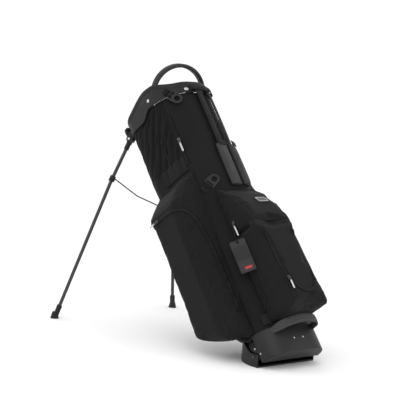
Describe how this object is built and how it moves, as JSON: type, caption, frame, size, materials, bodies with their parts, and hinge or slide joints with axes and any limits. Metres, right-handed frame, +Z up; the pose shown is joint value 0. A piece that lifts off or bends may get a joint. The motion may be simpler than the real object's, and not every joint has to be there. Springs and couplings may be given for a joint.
{
  "type": "golf stand bag",
  "caption": "Dark woven golf bag leaning on two spread legs, with a rocker foot, ribbed cuff, side and ball pockets, carry straps and a hand loop.",
  "frame": {"origin": "on the ground, in the flat sole of the rocker foot, in the middle across the bag and where the bag's own axis meets its base", "axes": "+Z up with the bag leaning on its legs, +X away from the legs to the spine side, +Y to the far side from the camera, -Y to the near side"},
  "size_m": [0.9004, 0.532, 0.8479],
  "materials": {
    "nylon": "woven, satin",
    "lining": "soft nap",
    "webbing": "ribbed",
    "padding": "mesh",
    "moulding": "fine grain",
    "handle_skin": "soft grain",
    "zip_tape": "coil zip",
    "bright_metal": "satin",
    "leg_metal": "anodised",
    "dark_steel": "satin black",
    "tip_rubber": "matte",
    "tag_sheet": "satin"
  },
  "bodies": {
    "foot": {"base_foot": "moulding"},
    "bag": {"body_shell": "nylon", "top_cuff": "moulding", "club_divider": "moulding", "divider_panel": "lining", "top_handle": "handle_skin", "cuff_rivet_near": "bright_metal", "cuff_rivet_spine": "bright_metal", "cuff_rivet_far": "bright_metal", "leg_bracket": "moulding", "leg_pin_near": "dark_steel", "leg_pin_far": "dark_steel", "rod_guide_upper": "moulding", "rod_guide_lower": "moulding", "base_boot": "moulding", "base_pin_near": "dark_steel", "base_pin_far": "dark_steel", "side_pocket_near": "nylon", "side_pocket_far": "nylon", "ball_pocket": "nylon", "valuables_pocket": "nylon", "glove_patch": "nylon", "zip_near": "zip_tape", "zip_far": "zip_tape", "zip_ball": "zip_tape", "zip_upper": "zip_tape", "zip_centre": "zip_tape", "strap_anchor": "webbing", "strap_web_near": "webbing", "strap_web_far": "webbing", "strap_pad_near": "padding", "strap_pad_far": "padding", "buckle_tab_upper": "webbing", "buckle_tab_lower": "webbing", "towel_loop": "webbing", "lift_handle": "padding", "badge_plate": "bright_metal"},
    "slider": {"slider": "moulding", "actuator_rod": "dark_steel"},
    "link_near": {"link_near": "dark_steel"},
    "link_far": {"link_far": "dark_steel"},
    "pull_near": {"pull_near": "bright_metal"},
    "pull_far": {"pull_far": "bright_metal"},
    "pull_ball": {"pull_ball": "bright_metal"},
    "pull_upper": {"pull_upper": "bright_metal"},
    "pull_centre": {"pull_centre": "bright_metal"},
    "buckle_upper": {"buckle_upper": "moulding"},
    "buckle_lower": {"buckle_lower": "moulding"},
    "tag": {"luggage_tag": "tag_sheet", "tag_cord": "webbing"},
    "leg_near": {"leg_tube_near": "leg_metal", "leg_head_near": "moulding", "leg_collar_near": "moulding", "leg_tip_near": "tip_rubber"},
    "leg_far": {"leg_tube_far": "leg_metal", "leg_head_far": "moulding", "leg_collar_far": "moulding", "leg_tip_far": "tip_rubber"}
  },
  "joints": [
    {"name": "bag_tilt", "type": "hinge", "parent": "foot", "child": "bag", "pos_m": [0.02799, 0, 0.02978], "axis": [0, 1, 0], "range_deg": [0, 38]},
    {"name": "leg_swing_near", "type": "hinge", "parent": "bag", "child": "leg_near", "pos_m": [-0.62504, -0.095, 0.59599], "axis": [0.2685, -0.9447, 0.1881], "range_deg": [0, 51.61]},
    {"name": "leg_swing_far", "type": "hinge", "parent": "bag", "child": "leg_far", "pos_m": [-0.62504, 0.095, 0.59599], "axis": [-0.2685, -0.9447, -0.1881], "range_deg": [0, 51.61]},
    {"name": "slider_drop", "type": "slide", "parent": "bag", "child": "slider", "axis": [0.6157, 0, -0.788], "range_m": [0, 0.09654]},
    {"name": "link_swing_near", "type": "hinge", "parent": "slider", "child": "link_near", "pos_m": [-0.47356, -0.06, 0.39073], "axis": [-0.3162, 0.933, -0.1719], "range_deg": [0, 30.72]},
    {"name": "link_swing_far", "type": "hinge", "parent": "slider", "child": "link_far", "pos_m": [-0.47356, 0.06, 0.39073], "axis": [0.3162, 0.933, 0.1719], "range_deg": [0, 30.72]},
    {"name": "zip_near_slide", "type": "slide", "parent": "bag", "child": "pull_near", "axis": [0.788, 0, 0.6157], "range_m": [0, 0.04]},
    {"name": "zip_far_slide", "type": "slide", "parent": "bag", "child": "pull_far", "axis": [0.788, 0, 0.6157], "range_m": [0, 0.04]},
    {"name": "zip_ball_slide", "type": "slide", "parent": "bag", "child": "pull_ball", "axis": [-0.6685, 0, 0.7437], "range_m": [0, 0.14]},
    {"name": "zip_upper_slide", "type": "slide", "parent": "bag", "child": "pull_upper", "axis": [-0.6157, 0, 0.788], "range_m": [-0.03, 0.06]},
    {"name": "zip_centre_slide", "type": "slide", "parent": "bag", "child": "pull_centre", "axis": [0.6157, 0, -0.788], "range_m": [0, 0.12]},
    {"name": "buckle_upper_swing", "type": "hinge", "parent": "bag", "child": "buckle_upper", "pos_m": [-0.45538, -0.08791, 0.75229], "axis": [-0.0443, -0.6455, -0.7625], "range_deg": [0, 50]},
    {"name": "buckle_lower_swing", "type": "hinge", "parent": "bag", "child": "buckle_lower", "pos_m": [-0.25584, -0.08244, 0.49502], "axis": [0.7505, 0.3892, -0.5341], "range_deg": [0, 50]},
    {"name": "tag_swing", "type": "hinge", "parent": "pull_centre", "child": "tag", "pos_m": [-0.10493, -0.10234, 0.36149], "axis": [-0.5281, -0.7422, -0.4126], "range_deg": [0, 60]}
  ],
  "couplings": [
    {"joint": "leg_swing_near", "follows": "bag_tilt", "ratio": 1.3577},
    {"joint": "link_swing_near", "follows": "bag_tilt", "ratio": 0.80798},
    {"joint": "leg_swing_far", "follows": "bag_tilt", "ratio": 1.3577},
    {"joint": "link_swing_far", "follows": "bag_tilt", "ratio": 0.80798},
    {"joint": "slider_drop", "follows": "bag_tilt", "m_per_rad": 0.14526}
  ]
}
